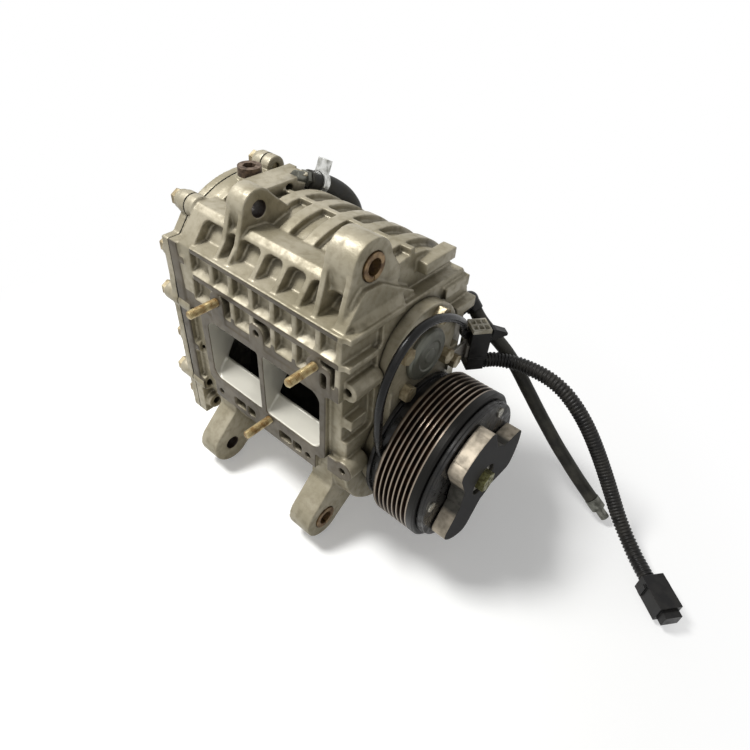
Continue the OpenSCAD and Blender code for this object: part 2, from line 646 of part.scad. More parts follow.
module front_cover() {
    color("darkkhaki") difference() {
        union() {
            xrod(front_x, cover_face_x, front_boss_r, driven);
            xrod(front_x, cover_face_x, nose_flange_r, drive);
            xplate(front_x, cover_face_x) translate([axis_y - 30, -half]) square([60, axis_gap]);
            xrod(front_x, nose_end_x, nose_r, drive);
            xrod(cover_face_x - 1, cover_face_x + 6, nose_r + 4, drive);
            // lug of the connector bracket
            translate([front_x, axis_y + 20, 2]) cube([cover_face_x - front_x, 22, 20]);
        }
        for (at = [drive, driven]) xrod(front_x - 1, front_bearing_x + bearing_w, bearing_r + seat, at);
        xrod(front_x, cover_face_x + 1, cap_r - 3 + seat, driven);
        xrod(front_x, nose_end_x + 1, journal_r + 2, drive);
        for (at = concat(cap_bolt_at, sunk_bolt_at)) xrod(front_x - 1, cover_face_x + 1, front_bolt_r + 0.3, at);
        for (at = sunk_bolt_at) xrod(cover_face_x - 6, cover_face_x + 1, 6.5, at);
        xrod(front_x - 1, cover_face_x + 1, 2.5 + seat, bracket_bolt_at);
        for (a = [0, 120, 240]) xrod(cover_face_x - 8, cover_face_x + 1, 2 + seat,
            drive + 41 * [cos(a + 90), sin(a + 90)]);
        // groove of the snap ring
        xring(nose_end_x - 3, nose_end_x - 1.5, nose_r - 1, nose_r + 1, drive);
    }
}

module front_cover_bolts() {
    color("tan") {
        for (at = cap_bolt_at) {
            xhex(cover_face_x, cover_face_x + 5.5, 10, at);
            xrod(front_x - 7, cover_face_x + 1, front_bolt_r - 0.1, at, $fn = 12);
        }
        for (at = sunk_bolt_at) {
            xhex(cover_face_x - 6, cover_face_x - 0.5, 10, at);
            xrod(front_x - 7, cover_face_x - 5, front_bolt_r - 0.1, at, $fn = 12);
        }
    }
}

module bearing_cap() {
    color("gray") {
        translate([cover_face_x, driven[0], driven[1]]) rotate([0, 90, 0]) rotate_extrude()
            polygon([[0, 0], [cap_r, 0], [cap_r, cap_t - 1.2], [cap_r - 0.9, cap_t + 0.2], [cap_r - 3.5, cap_t + 1.2],
                [cap_r - 7, cap_t + 1.5], [cap_r - 8, cap_t + 0.9], [5, cap_t + 0.9], [4.4, cap_t + 1.5],
                [0, cap_t + 1.5]]);
        xrod(front_bearing_x + bearing_w + 0.2, cover_face_x + 1, cap_r - 3, driven);
    }
}

module port_studs() {
    color("peru") for (at = stud_at) {
        yrod(-stud_len, 0, stud_r, at);
        yrod(-1, thread_t - 0.5, stud_r - 0.5, at);
    }
}

module lug_bushes() {
    color("goldenrod") for (l = [[lug_b_x, upper_at], [lug_d_x, lower_at]]) difference() {
        xring(l[0][0], l[0][1] + 0.8, lug_bore_r, bush_r, l[1]);
        translate([l[0][0] - 1, l[1][0] - 0.4, l[1][1] - bush_r - 1])
            cube([l[0][1] - l[0][0] + 3, 0.8, bush_r + 1]);
    }
}

module oil_filler_plug() {
    top = half + flange_r + 0.5;
    color("rosybrown") translate([filler_x, axis_y - 1, top]) difference() {
        union() {
            translate([0, 0, -5.5]) cylinder(r = 6, h = 6);
            cylinder(r = 8, h = 6);
        }
        translate([0, 0, 2]) cylinder(d = 8 / cos(30), h = 5, $fn = 6);
    }
}

module drain_plug() {
    color("gray") translate([drain_x, axis_y, drive[1]]) {
        translate([0, 0, -drain_boss - 5]) rotate(30) cylinder(d = 13 / cos(30), h = 5, $fn = 6);
        translate([0, 0, -drain_boss - 1]) cylinder(r = 5, h = 12);
    }
}

// ---------- bearings and seals ----------

module rear_bearings() {
    color("lightgray") for (at = [drive, driven])
        bearing(rear_bearing_x, bearing_w - seat, journal_r + running, bearing_r, at);
}

module front_bearings() {
    color("lightgray") for (at = [drive, driven])
        bearing(front_bearing_x + seat, bearing_w - 2 * seat, journal_r + running, bearing_r, at);
}

module shaft_seals() {
    color("black") for (at = [drive, driven], x = [wall_x + lip, chamber_x - lip - seal_w])
        xring(x + seat, x + seal_w - seat, journal_r + running, seal_r, at);
}

// ---------- rotors, shafts and timing gears ----------

// Half-lobe points. An epicycloid gives the lobe and a hypocycloid the waist; each point is moved
// inwards by the flank gap along the common normal through the pitch point.
function pitch_point(a) = half * [cos(a), sin(a)];
function lobe_point(a) = roll_r * [5 * cos(a) - cos(5 * a), 5 * sin(a) - sin(5 * a)];
function waist_point(a) = roll_r * [3 * cos(a) + cos(3 * a), 3 * sin(a) - sin(3 * a)];
function lobe_in(a) = lobe_point(a) - flank_gap * unit(lobe_point(a) - pitch_point(a));
function waist_in(a) = waist_point(a) + flank_gap * unit(waist_point(a) - pitch_point(a));
rest_turn = 45;               // the drive lobes stand upright at rest
rotor_step = 90 / 20;
rotor_points = [for (q = [0:3], i = [0.5:1:19.5]) let (a = q * 90 + i * rotor_step)
    q % 2 == 0 ? lobe_in(a) : waist_in(a)];

module rotor(at, turn) {
    color("lightsteelblue") xplate(chamber_x + end_gap, wall_x - end_gap) translate(at) rotate(turn) difference() {
        polygon(rotor_points);
        circle(rotor_shaft_r + seat);
        // hollow lobes
        for (a = [45, 225]) rotate(a) translate([(tip_r + waist_r) / 2 - 2, 0]) circle(9);
    }
}

module drive_rotor() rotor(drive, rest_turn);
module driven_rotor() rotor(driven, -rest_turn);

module shaft(at, front_end) {
    color("silver") {
        xrod(chamber_x + end_gap, wall_x - end_gap, rotor_shaft_r, at);
        xrod(shaft_end_x + 1, front_end, journal_r, at);
    }
}

module drive_shaft() {
    shaft(drive, nose_end_x + 1);
    color("silver") xrod(nose_end_x, lobe_x + 4, hub_bore_r - seat, drive);
}

module driven_shaft() shaft(driven, front_bearing_x + bearing_w - 0.5);

// half the angle that a tooth takes up at radius r: an involute above the base circle
base_circle_r = half * cos(20);
function involute(r) = let (a = acos(min(1, base_circle_r / r))) tan(a) * 180 / PI - a;
function half_tooth(r) = 90 / gear_teeth + involute(half) - involute(r) - backlash / half * 45 / PI;

module gear(at, turn) {
    flank = [gear_root_r, base_circle_r, half - 0.6, half + 0.6, gear_tip_r];
    color("dimgray") difference() {
        xplate(gear_x, gear_x + gear_w) translate(at) rotate(turn) polygon([for (i = [0:gear_teeth - 1])
            let (a = i * 360 / gear_teeth) each concat(
                [for (r = flank) r * [cos(a - half_tooth(r)), sin(a - half_tooth(r))]],
                [for (k = [4:-1:0]) let (r = flank[k]) r * [cos(a + half_tooth(r)), sin(a + half_tooth(r))]])]);
        xrod(gear_x - 1, gear_x + gear_w + 1, journal_r + seat, at);
        xring(gear_x - 1, gear_x + 3, journal_r + 6, gear_root_r - 5, at);
    }
}

module drive_gear() gear(drive, 90);
module driven_gear() gear(driven, -90 + 180 / gear_teeth);

module gear_nut(at) {
    color("gray") difference() {
        xhex(gear_x - gear_nut_t, gear_x, 26, at);
        xrod(gear_x - gear_nut_t - 1, gear_x + 1, journal_r + seat, at);
    }
}

module drive_gear_nut() gear_nut(drive);
module driven_gear_nut() gear_nut(driven);

// ---------- pulley and clutch ----------

// closed ring of revolution about the drive axis; points are [radius, x]
module turned(points) {
    translate([0, drive[0], drive[1]]) rotate([0, 90, 0]) rotate_extrude($fn = 64) polygon(points);
}

module clutch_coil() {
    r0 = pulley_bearing_r + sleeve_t + coil_gap;
    r1 = pulley_r - rim_t - coil_gap;
    end_x = pulley_end_x - pulley_web_t - 1.5;
    color("darkslategray") difference() {
        turned([[nose_r + 4.5, cover_face_x], [coil_flange_r, cover_face_x],
            [coil_flange_r, cover_face_x + coil_flange_t], [r1, cover_face_x + coil_flange_t], [r1, end_x],
            [r1 - 3, end_x], [r1 - 3, end_x - 2], [r0 + 3, end_x - 2], [r0 + 3, end_x], [r0, end_x],
            [r0, cover_face_x + coil_flange_t + 3], [nose_r + 4.5, cover_face_x + coil_flange_t + 3]]);
        for (a = [0, 120, 240]) xrod(cover_face_x - 1, cover_face_x + coil_flange_t + 9, 2.2,
            drive + 41 * [cos(a + 90), sin(a + 90)]);
    }
}

module coil_screws() {
    color("gray") for (a = [0, 120, 240]) {
        at = drive + 41 * [cos(a + 90), sin(a + 90)];
        xrod(cover_face_x - 7, cover_face_x + coil_flange_t + 8, 2, at, $fn = 12);
    }
}

module pulley() {
    root_r = pulley_r - groove_d;
    seat_x = pulley_bearing_x;
    color("saddlebrown") turned(concat(
        [[pulley_bearing_r, seat_x], [pulley_bearing_r + sleeve_t, seat_x],
            [pulley_bearing_r + sleeve_t, pulley_end_x - pulley_web_t],
            [pulley_r - rim_t, pulley_end_x - pulley_web_t], [pulley_r - rim_t, pulley_x + 2],
            [pulley_r - rim_t + 1.5, pulley_x], [pulley_r - 0.6, pulley_x]],
        [for (i = [0:grooves - 1]) let (x = ridge_x + i * rib_pitch) each [
            [pulley_r, x - 0.4], [pulley_r, x + 0.4],
            [root_r, x + rib_pitch / 2 - 0.4], [root_r, x + rib_pitch / 2 + 0.4]]],
        [[pulley_r, ridge_x + grooves * rib_pitch - 0.4], [pulley_r, pulley_end_x - 1.2],
            [pulley_r - 1.2, pulley_end_x], [pulley_bearing_r + 4, pulley_end_x],
            [pulley_bearing_r + 2, pulley_end_x - 2.5], [pulley_bearing_r, pulley_end_x - 2.5]]));
}

module pulley_bearing() {
    color("lightgray") bearing(pulley_bearing_x, pulley_bearing_w, nose_r + running, pulley_bearing_r - seat, drive);
}

module bearing_snap_ring() {
    color("gray") difference() {
        xring(nose_end_x - 3 + seat, nose_end_x - 1.5 - seat, nose_r - 1 + seat, nose_r + 2.5, drive);
        translate([nose_end_x - 4, drive[0] - 3, drive[1] + 5]) cube([4, 6, nose_r]);
    }
}

module armature_plate() {
    color("black") difference() {
        turned([[pulley_bearing_r + 1, armature_x], [armature_r, armature_x], [armature_r, armature_x + 2.4],
            [armature_r - 0.8, armature_x + 2.8], [armature_r - 0.8, armature_x + armature_t],
            [pulley_bearing_r + 1, armature_x + armature_t]]);
        for (a = rivet_a) xrod(armature_x - 1, armature_x + armature_t + 1, 2.5 + seat,
            drive + (armature_r - 7) * [cos(a), sin(a)]);
    }
}

module armature_rivets() {
    color("gainsboro") for (a = rivet_a) {
        at = drive + (armature_r - 7) * [cos(a), sin(a)];
        xrod(armature_x + 0.3, armature_x + armature_t + 0.5, 2.5, at);
        xrod(armature_x + armature_t, armature_x + armature_t + 1.2, 3.4, at);
    }
}

module hub_outline() {
    corner = 7;
    side = lobe_w / 2 - corner;
    reach = sqrt(pow(hub_r - corner, 2) - side * side);
    circle(waist_hub_r);
    for (a = lobe_a) rotate(a) {
        translate([0, -lobe_w / 2]) square([reach, lobe_w]);
        for (v = [-side, side]) translate([reach, v]) circle(corner);
        intersection() {
            circle(hub_r);
            translate([0, -side]) square([hub_r, 2 * side]);
        }
    }
}

module clutch_hub() {
    color("darkslategray") difference() {
        union() {
            xplate(lobe_x, lobe_x + lobe_t) translate(drive) hub_outline();
            xrod(nose_end_x + 1.5, lobe_x + 1, 13, drive);
        }
        xrod(nose_end_x, lobe_x + lobe_t, hub_bore_r, drive);
        xrod(lobe_x + lobe_t - 4, lobe_x + lobe_t + 1, 12, drive);
        for (a = lobe_a) xrod(lobe_x - 1, lobe_x + 4, damper_r + seat,
            drive + damper_at * [cos(a), sin(a)]);
    }
}

module rubber_dampers() {
    color("black") for (a = lobe_a)
        xrod(armature_x + armature_t + 0.1, lobe_x + 4 - seat, damper_r, drive + damper_at * [cos(a), sin(a)]);
}

module hub_washer() {
    color("gray") xring(lobe_x + lobe_t - 4, lobe_x + lobe_t - 2, 4.2, 10, drive);
}

module hub_bolt() {
    color("silver") {
        xhex(lobe_x + lobe_t - 2, lobe_x + lobe_t + 4, 13, drive);
        xrod(lobe_x + 4, lobe_x + lobe_t - 1, 4, drive);
    }
}

// ---------- lead, connector and hoses ----------

module coil_lead() {
    color("black") tube(lead_route, lead_r);
}

// places a piece in the connector's own corner: X across, Y deep, Z up
module in_connector() {
    translate(shell_at) rotate(shell_turn) children();
}

module connector_bracket() {
    arm_y = axis_y + 29.5;
    color("gray") difference() {
        union() {
            translate([cover_face_x, arm_y, bracket_bolt_at[1] - 7]) cube([bracket_t, 22, 14]);
            in_connector() translate([-bracket_t, 1, shell_size[2] - 20.4]) cube([bracket_t, shell_size[1] - 2, 10]);
        }
        xrod(cover_face_x - 1, cover_face_x + bracket_t + 1, 2.8, bracket_bolt_at);
    }
}

module bracket_bolt() {
    color("gray") {
        xhex(cover_face_x + bracket_t, cover_face_x + bracket_t + 4, 9, bracket_bolt_at);
        xrod(front_x + 1, cover_face_x + bracket_t + 1, 2.5, bracket_bolt_at);
    }
}

module connector_shell() {
    color("black") in_connector() difference() {
        union() {
            translate([0.7, 0.7, 0]) cube(shell_size - [1.4, 1.4, 10]);
            // rim of the latch between the two halves
            translate([-0.4, -0.4, boot_h]) cube([shell_size[0] + 0.8, shell_size[1] + 0.8, 1.6]);
            translate([0, 0, boot_h]) cube([shell_size[0], shell_size[1], shell_size[2] - boot_h]);
        }
        translate([1, 1, shell_size[2] - 9]) cube([shell_size[0] - 2, shell_size[1] - 2, 10]);
    }
}

module connector_insert() {
    cell = [3, 4.6, 8];
    top = shell_size[2] + 3;
    color("wheat") in_connector() difference() {
        union() {
            translate([1.02, 1.02, shell_size[2] - 9]) cube([shell_size[0] - 2.04, shell_size[1] - 2.04, 11]);
            translate([0.3, 0.3, shell_size[2]]) cube([shell_size[0] - 0.6, shell_size[1] - 0.6, 3]);
        }
        for (i = [0:2], j = [0, 1]) translate([1.7 + i * 3.9, 2 + j * 6.2, top - 7]) cube(cell);
    }
}

module connector_clip() {
    color("black") in_connector() translate([shell_size[0], shell_size[1] / 2, shell_size[2] - 5]) {
        translate([0, -1.5, -1.5]) cube([4, 3, 3]);
        // barbed end
        translate([3, 0, 0]) rotate([90, 0, 0]) linear_extrude(6, center = true)
            polygon([[0, -4.5], [2, -4.5], [11, -1], [11, 1], [2, 4.5], [0, 4.5]]);
    }
}

module conduit() {
    color("black") tube(conduit_route, conduit_r);
}

module conduit_plug() {
    color("black") at_end(conduit_route) {
        translate([-8, -8, 0]) cube([14, 16, 24]);
        translate([-6, -9.5, 5]) cube([10, 19, 3]);
        translate([-5, -6, 23]) cube([9, 12, 6]);
    }
}

module side_elbow() {
    color("black") {
        yrod(axis_y + barrel_r, 139, 6.3, [66, 33]);
        translate([66, 139, 33]) sphere(6.3);
        translate([66, 139, 33]) rotate([0, 135, 0]) cylinder(r = 6, h = norm([6, 6]));
    }
}

module side_hose() {
    color("dimgray") tube(side_route, hose_r);
}

module side_hose_end() {
    color("gray") at_end(side_route) difference() {
        union() {
            cylinder(r = 5.4, h = 9);
            cylinder(r = 3.4, h = 18);
        }
        translate([0, 0, 4]) cylinder(r = 2.2, h = 20);
    }
}

// places a piece on the sloping axis of the breather outlet
module along_breather() {
    translate(breather_at) rotate([-90 - breather_slope, 0, 0]) children();
}

module breather_nipple() {
    color("khaki") along_breather() {
        translate([0, 0, -8]) cylinder(r = 4, h = 30);
        cylinder(d = 10 / cos(30), h = 3.6, $fn = 6);
    }
}

module breather_hose() {
    color("dimgray") tube(breather_route, breather_r);
}

module hose_clamp() {
    color("whitesmoke") along_breather() difference() {
        union() {
            translate([0, 0, 14]) cylinder(r = breather_r + 1.2, h = 6);
            translate([-4, -breather_r - 9, 14]) cube([8, 9, 6]);
        }
        translate([0, 0, 13]) cylinder(r = breather_r + seat, h = 8);
    }
}

module breather_end() {
    color("gray") at_end(breather_route) difference() {
        union() {
            cylinder(r = 7.4, h = 10);
            cylinder(r = 5, h = 20);
        }
        translate([0, 0, 4]) cylinder(r = 3.4, h = 20);
    }
}

rotor_housing();
rear_bearing_plate();
rear_cover();
cover_gasket();
cover_bolts();
front_cover();
front_cover_bolts();
bearing_cap();
port_studs();
lug_bushes();
oil_filler_plug();
drain_plug();
rear_bearings();
front_bearings();
shaft_seals();
drive_shaft();
drive_rotor();
drive_gear();
drive_gear_nut();
driven_shaft();
driven_rotor();
driven_gear();
driven_gear_nut();
clutch_coil();
coil_screws();
pulley();
pulley_bearing();
bearing_snap_ring();
armature_plate();
armature_rivets();
clutch_hub();
rubber_dampers();
hub_washer();
hub_bolt();
coil_lead();
connector_bracket();
bracket_bolt();
connector_shell();
connector_insert();
connector_clip();
conduit();
conduit_plug();
side_elbow();
side_hose();
side_hose_end();
breather_nipple();
breather_hose();
hose_clamp();
breather_end();
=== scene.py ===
from math import radians, tau

import bpy
import numpy as np
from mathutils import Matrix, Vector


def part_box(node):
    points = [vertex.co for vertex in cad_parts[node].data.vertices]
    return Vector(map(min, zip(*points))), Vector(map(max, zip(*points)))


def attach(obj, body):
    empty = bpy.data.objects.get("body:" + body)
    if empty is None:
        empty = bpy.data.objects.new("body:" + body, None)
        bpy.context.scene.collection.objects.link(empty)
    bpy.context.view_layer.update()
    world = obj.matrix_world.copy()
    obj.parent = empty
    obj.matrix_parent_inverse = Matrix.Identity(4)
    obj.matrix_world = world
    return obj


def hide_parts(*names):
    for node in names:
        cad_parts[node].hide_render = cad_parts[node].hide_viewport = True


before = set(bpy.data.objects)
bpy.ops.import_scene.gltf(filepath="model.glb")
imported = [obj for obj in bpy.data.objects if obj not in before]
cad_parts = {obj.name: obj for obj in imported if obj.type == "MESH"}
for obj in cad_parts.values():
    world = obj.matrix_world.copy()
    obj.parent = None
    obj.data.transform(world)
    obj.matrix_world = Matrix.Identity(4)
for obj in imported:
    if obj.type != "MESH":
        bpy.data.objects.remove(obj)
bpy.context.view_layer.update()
MM = 0.001
scene = bpy.context.scene


# ---- Table and light ------------------------------------------------------
# The blower stands on a plain white table by the lower edge of its rear joint flange, and its
# lower lugs clear the table by 4 mm. One broad lamp hangs at its upper left and a weak one
# fills the pulley side, over an even pale surrounding.

def add(mat, kind, inputs=(), **settings):
    """Adds one node with its settings, and its inputs: each a value, a socket or another node,
    whose first output in use is taken. An input is named or numbered among those in use."""
    node = mat.node_tree.nodes.new("ShaderNode" + kind)
    for key, value in settings.items():
        setattr(node, key, value)
    for key, value in dict(inputs).items():
        live = [s for s in node.inputs if s.enabled]
        socket = live[key] if isinstance(key, int) else next(s for s in live if s.name == key)
        if isinstance(value, bpy.types.Node):
            value = next(s for s in value.outputs if s.enabled)
        if isinstance(value, bpy.types.NodeSocket):
            mat.node_tree.links.new(value, socket)
        else:
            socket.default_value = value
    return node


def hexcol(code):
    """sRGB hex to linear RGBA: c/12.92 below 0.04045, else ((c + 0.055) / 1.055) ** 2.4."""
    c = np.array([int(code[i:i + 2], 16) for i in (1, 3, 5)]) / 255
    return (*np.where(c <= 0.04045, c / 12.92, ((c + 0.055) / 1.055) ** 2.4), 1.0)


eye = bpy.data.objects.new("eye", bpy.data.cameras.new("eye"))
eye.location = (0.2252, -0.1725, 0.2591)
eye.rotation_euler = [radians(a) for a in (48.528, -3.523, 40.573)]
eye.data.lens = 27.42
eye.data.sensor_width = 36
eye.data.shift_y = -0.0026
eye.data.clip_start = 0.01
scene.collection.objects.link(eye)
scene.camera = eye

TABLE_HALF = 3.0
TABLE_GAP = 0.2 * MM         # keeps the table off the flange's edge
table_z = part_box("rotor_housing")[0][2] - TABLE_GAP
edges = (-TABLE_HALF, TABLE_HALF)
table_mesh = bpy.data.meshes.new("table")
table_mesh.from_pydata([(x, y, table_z) for y in edges for x in edges], [], [(0, 1, 3, 2)])
table = bpy.data.objects.new("table", table_mesh)
scene.collection.objects.link(table)


def blank(name):
    """A new material with an empty node tree."""
    mat = bpy.data.materials.new(name)
    mat.use_nodes = True
    mat.node_tree.nodes.clear()
    return mat


def showing(mat):
    """1 for the rays that show the surroundings, to the camera or in metal and glass, and 0 for
    those that only light the object."""
    ray = add(mat, "LightPath").outputs
    shown = add(mat, "Math", {0: ray["Is Camera Ray"], 1: ray["Is Glossy Ray"]},
                operation="ADD", use_clamp=True)
    return add(mat, "Math", {0: shown, 1: ray["Is Transmission Ray"]}, operation="ADD",
               use_clamp=True)


TABLE_GLOW = 0.24            # lifts the lit table to white where it is seen
SHADE_END, WHITE_FROM = 0.22, 0.42      # metres from the middle: the shaded table fades to white
AIR_LIGHT = 0.22             # what the pale room gives the object, where white is 1
# Matt laminate: even white that hardly shines, so that only the shadow shows on it.
white_top = blank("matt_white_laminate")
seen = showing(white_top)
lit = add(white_top, "BsdfPrincipled", {"Base Color": hexcol("#ececea"), "Roughness": 0.85})
glow = add(white_top, "Emission", {"Color": hexcol("#ffffff"), "Strength": TABLE_GLOW})
near = add(white_top, "AddShader", {0: lit, 1: glow})
white = add(white_top, "Emission", {"Color": hexcol("#ffffff"), "Strength": 1.0})
# the shadow stays round the object, and the table beyond it is plain white
away = add(white_top, "VectorMath", {0: add(white_top, "TexCoord").outputs["Object"]},
           operation="LENGTH").outputs["Value"]
away = add(white_top, "MapRange", {"Value": away, "From Min": SHADE_END, "From Max": WHITE_FROM},
           interpolation_type="SMOOTHSTEP")
shown = add(white_top, "MixShader", {0: away, 1: near, 2: white})
pick = add(white_top, "MixShader", {0: seen, 1: lit, 2: shown})
add(white_top, "OutputMaterial", {"Surface": pick})
table_mesh.materials.append(white_top)

scene.view_settings.view_transform = "Standard"
air = bpy.data.worlds.new("pale_room")
scene.world = air
air.use_nodes = True
air.node_tree.nodes.clear()
plain = add(air, "Math", {0: showing(air), 1: 1 - AIR_LIGHT, 2: AIR_LIGHT},
            operation="MULTIPLY_ADD")
room = add(air, "Background", {"Color": hexcol("#ffffff"), "Strength": plain})
add(air, "OutputWorld", {"Surface": room})


def lamp(name, place, target, size, watts):
    """A square area lamp at place, its -Z axis turned towards target."""
    data = bpy.data.lights.new(name, "AREA")
    data.energy, data.size = watts, size
    obj = bpy.data.objects.new(name, data)
    obj.location = place
    away = np.subtract(place, target)
    obj.rotation_euler = (np.arctan2(np.hypot(*away[:2]), away[2]), 0,
                          np.arctan2(away[1], away[0]) + tau / 4)
    scene.collection.objects.link(obj)


lamp("window", (-0.50, -0.26, 1.0), (0, 0.06, 0), 0.3, 15)
lamp("fill", (0.6, -0.6, 0.6), (0.05, 0.06, 0), 0.5, 0.7)


# ---- Hoses and conduit ----------------------------------------------------
# A corrugated polyethylene conduit carries the wires from the clutch connector down to just
# above the table, a plain rubber drain hose runs beside it from an elbow, and the breather hose
# hangs behind the housing. Each is extruded and keeps its section along its whole length.

def smooth_line(points, step):
    """Catmull-Rom curve through the points, in metres, resampled at equal steps of arc."""
    p = np.asarray(points, float)
    p = np.vstack([2 * p[0] - p[1], p, 2 * p[-1] - p[-2]])
    t = np.linspace(0, 1, 40, endpoint=False)[:, None]
    rows = [0.5 * (2 * b + (c - a) * t + (2 * a - 5 * b + 4 * c - d) * t ** 2
                   + (3 * b - a - 3 * c + d) * t ** 3)
            for a, b, c, d in zip(p, p[1:], p[2:], p[3:])]
    line = np.vstack(rows + [p[-2:-1]])
    run = np.concatenate([[0], np.cumsum(np.linalg.norm(np.diff(line, axis=0), axis=1))])
    at = np.linspace(0, run[-1], max(8, int(run[-1] / step)))
    return np.stack([np.interp(at, run, line[:, i]) for i in range(3)], 1), at


def frames(line):
    """Unit tangent T of each point and two side vectors carried along without twist:
    S follows from the previous S minus its part along T, and U = T x S."""
    tangent = np.gradient(line, axis=0)
    tangent /= np.linalg.norm(tangent, axis=1)[:, None]
    side = np.zeros_like(line)
    s = np.cross(tangent[0], (0.3, 0.2, 0.93))     # any direction off the tangent would do
    for i, t in enumerate(tangent):
        s = s - t * (s @ t)
        s /= np.linalg.norm(s)
        side[i] = s
    return tangent, side, np.cross(tangent, side)


def surface(name, grid):
    """Closed mesh from a grid of points (rows, around, 3): neighbours join as quads, each row
    closes on itself, and the first and last rows close on their own centres."""
    rows, around = grid.shape[:2]
    i, k = np.meshgrid(np.arange(rows - 1), np.arange(around), indexing="ij")
    n = (k + 1) % around
    quads = np.stack([i * around + k, i * around + n,
                      (i + 1) * around + n, (i + 1) * around + k], -1)
    caps = np.stack([grid[0].mean(0), grid[-1].mean(0)])
    points = np.vstack([grid.reshape(-1, 3), caps])
    k = np.arange(around)
    n = (k + 1) % around
    a = rows * around
    last = (rows - 1) * around
    fans = np.vstack([np.stack([n, k, np.full(around, a)], -1),
                      np.stack([last + k, last + n, np.full(around, a + 1)], -1)])
    mesh = bpy.data.meshes.new(name)
    mesh.from_pydata(points.tolist(), [], quads.reshape(-1, 4).tolist() + fans.tolist())
    mesh.polygons.foreach_set("use_smooth", [True] * (quads.size // 4) + [False] * len(fans))
    mesh.validate()
    obj = bpy.data.objects.new(name, mesh)
    scene.collection.objects.link(obj)
    return obj


def hose(name, points, radius, step=1 * MM, sides=24):
    """Tube P(s, a) = line(s) + r(s) (cos a S + sin a U), where the radius r is a number or a
    function of the arc length s."""
    line, at = smooth_line(points, step)
    tangent, s, u = frames(line)
    r = radius(at) if callable(radius) else np.full(len(at), radius)
    a = np.linspace(0, tau, sides, endpoint=False)
    ring = np.cos(a)[None, :, None] * s[:, None] + np.sin(a)[None, :, None] * u[:, None]
    obj = surface(name, line[:, None] + r[:, None, None] * ring)
    return obj, line, at[-1]


def moulded(name, dark, pale, size, rough, grain, depth):
    """Black rubber or plastic as moulded: a dark and a dusty tone in blotches of a size, duller
    where dusty, with a fine grain of this size and depth. Sizes in metres."""
    mat = blank(name)
    spot = add(mat, "TexCoord").outputs["Object"]
    dust = add(mat, "TexNoise", {"Vector": spot, "Scale": 1 / size, "Detail": 3})
    dust = add(mat, "MapRange", {"Value": dust, "From Min": 0.4, "From Max": 0.66})
    color = add(mat, "Mix", {"Factor": dust, "A": hexcol(dark), "B": hexcol(pale)},
                data_type="RGBA")
    dull = add(mat, "MapRange", {"Value": dust, "To Min": rough - 0.1, "To Max": rough + 0.1})
    skin = add(mat, "TexNoise", {"Vector": spot, "Scale": 1 / grain, "Detail": 2})
    edge = add(mat, "Bevel", {"Radius": 0.5 * MM}, samples=4)
    bump = add(mat, "Bump", {"Height": skin, "Distance": depth, "Strength": 0.5, "Normal": edge})
    shader = add(mat, "BsdfPrincipled", {"Base Color": color, "Roughness": dull,
                                         "Specular IOR Level": 0.22,
                                         "Normal": bump})
    add(mat, "OutputMaterial", {"Surface": shader})
    return mat


# Corrugated polyethylene: satin black, with dust between its ribs.
conduit_black = moulded("ribbed_polyethylene", "#141312", "#2d2b27", 9 * MM, 0.42, 0.8 * MM,
                        0.08 * MM)
# Worn rubber hose: grey-black, chalky where it was handled.
hose_grey = moulded("chalky_rubber_hose", "#24231f", "#45433c", 12 * MM, 0.6, 0.7 * MM, 0.1 * MM)

CONDUIT_R, SIDE_HOSE_R, BREATHER_R = 5.5 * MM, 4.95 * MM, 6.45 * MM
RIB_PITCH, RIB_DEPTH = 2.6 * MM, 0.7 * MM
conduit_points = MM * np.array([
    (93, 126, 0.5), (97, 131, 0.5), (101.8, 135, 0.4), (107.2, 137.9, 0.3), (113.2, 139.8, 0.6),
    (119.6, 140.6, 1), (126, 140.8, 1.4), (132.4, 140.8, 1.4), (138.8, 140.9, 0.6),
    (145, 141.1, -1.2), (151.2, 141.5, -4.2), (157.2, 142, -8.4), (163, 142.6, -13.4),
    (168.8, 143.2, -19.2), (174.4, 143.8, -25.6), (180.2, 144.4, -33), (187, 145, -42.4),
    (194, 145, -52), (200.6, 144.6, -61), (205.4, 144, -67.4), (210, 143.2, -73.4),
    (214.8, 142, -79.2), (220, 140.3, -84.5), (225.6, 137.9, -89), (231.4, 134.8, -92.6),
    (237.3, 131, -95.2), (243.2, 126.6, -96.6), (249, 121.8, -96.9), (254.8, 117, -96.9)])


def ribs(at):
    """Radius of the conduit at arc length s, with flat-topped rings: r(s) = R - skin
    - depth (1 - w), where w = 0.5 + 0.9 cos(2 pi s / pitch), kept within 0 and 1."""
    skin = 0.1 * MM
    wave = np.clip(0.5 + 0.9 * np.cos(tau * at / RIB_PITCH), 0, 1)
    return CONDUIT_R - skin - RIB_DEPTH * (1 - wave)


conduit, conduit_line, conduit_length = hose("ribbed_conduit", conduit_points, ribs, 0.25 * MM, 28)
conduit.data.materials.append(conduit_black)
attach(conduit, "housing")
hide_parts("conduit")

side_points = MM * np.array([
    (72, 139, 27), (76, 139, 23), (80.2, 139.9, 18.8), (84.6, 141.6, 14.4), (89.2, 143.6, 9.8),
    (94, 145.7, 5), (99, 147.5, 0), (104.2, 148.8, -5.4), (109.6, 149.5, -11.2),
    (115.2, 149.7, -17.2), (121, 149.7, -23.4), (127, 149.7, -29.6), (133, 149.6, -35.8),
    (139.2, 149.5, -42), (145.6, 149.4, -48.2), (152.4, 149.2, -54.6), (159.8, 149, -61.2),
    (167.6, 149, -67.8), (175.4, 149, -74.4), (183.4, 149, -80.8), (191.6, 149, -87),
    (196, 149, -90.2)])
side_hose, side_line, side_length = hose("drain_hose", side_points, SIDE_HOSE_R)
side_hose.data.materials.append(hose_grey)
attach(side_hose, "housing")
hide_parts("side_hose")

